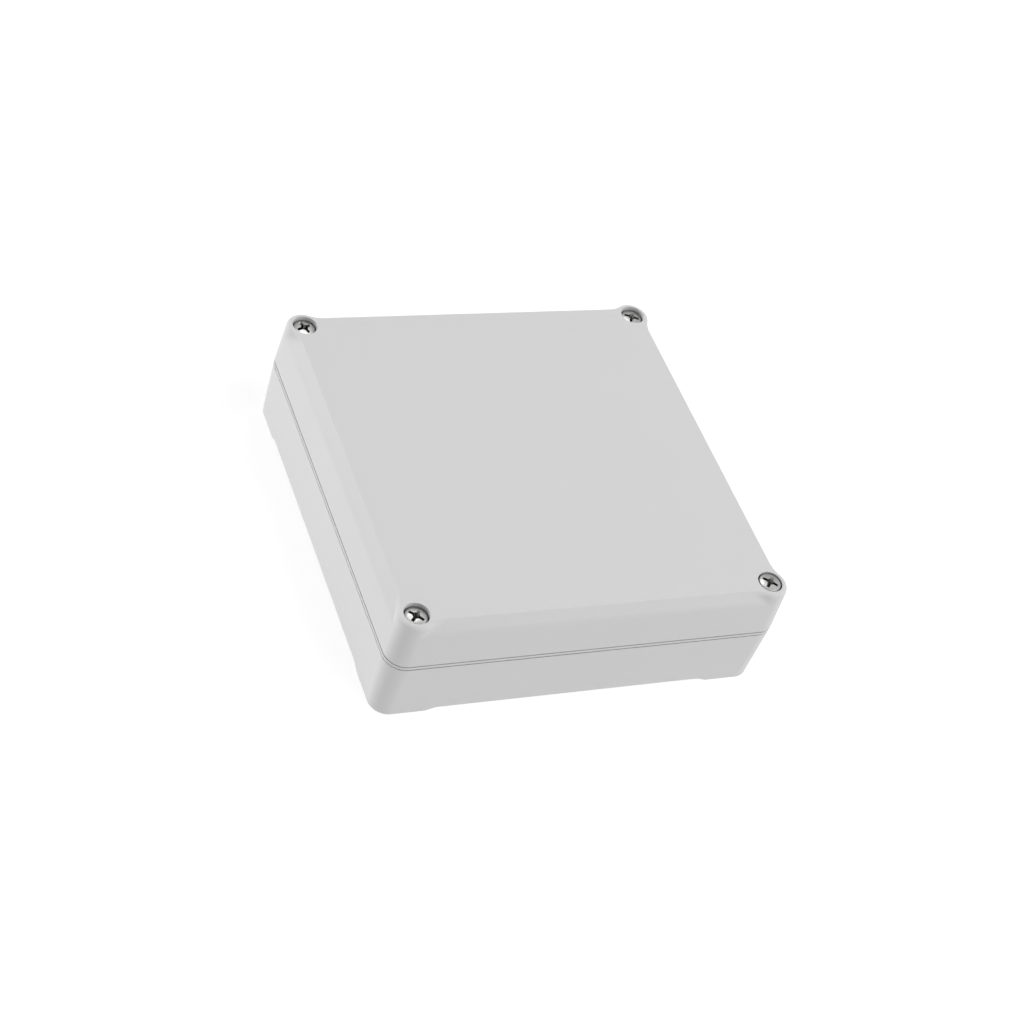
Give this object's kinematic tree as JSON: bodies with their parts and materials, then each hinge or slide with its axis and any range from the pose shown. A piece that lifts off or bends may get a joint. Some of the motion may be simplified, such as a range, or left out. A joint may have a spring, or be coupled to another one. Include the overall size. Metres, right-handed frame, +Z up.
{
  "type": "electronics enclosure",
  "caption": "Low square plastic electronics enclosure with a bevelled lid, recessed corner screws, a gasketed tongue-and-groove seam, corner feet and circuit board posts inside.",
  "frame": {"origin": "middle of the underside, on the plane of the four corner feet", "axes": "+Z up through the lid, +X to the right, -Y towards the front"},
  "size_m": [0.12, 0.122, 0.0366],
  "materials": {
    "shell_plastic": "light grey moulded ABS, fine satin texture",
    "gasket_rubber": "black foam rubber cord",
    "screw_steel": "bright plated steel",
    "insert_brass": "turned brass"
  },
  "bodies": {
    "root": {"base": "shell_plastic", "lid": "shell_plastic", "gasket": "gasket_rubber", "lid_screws": "screw_steel", "threaded_inserts": "insert_brass"}
  },
  "joints": []
}
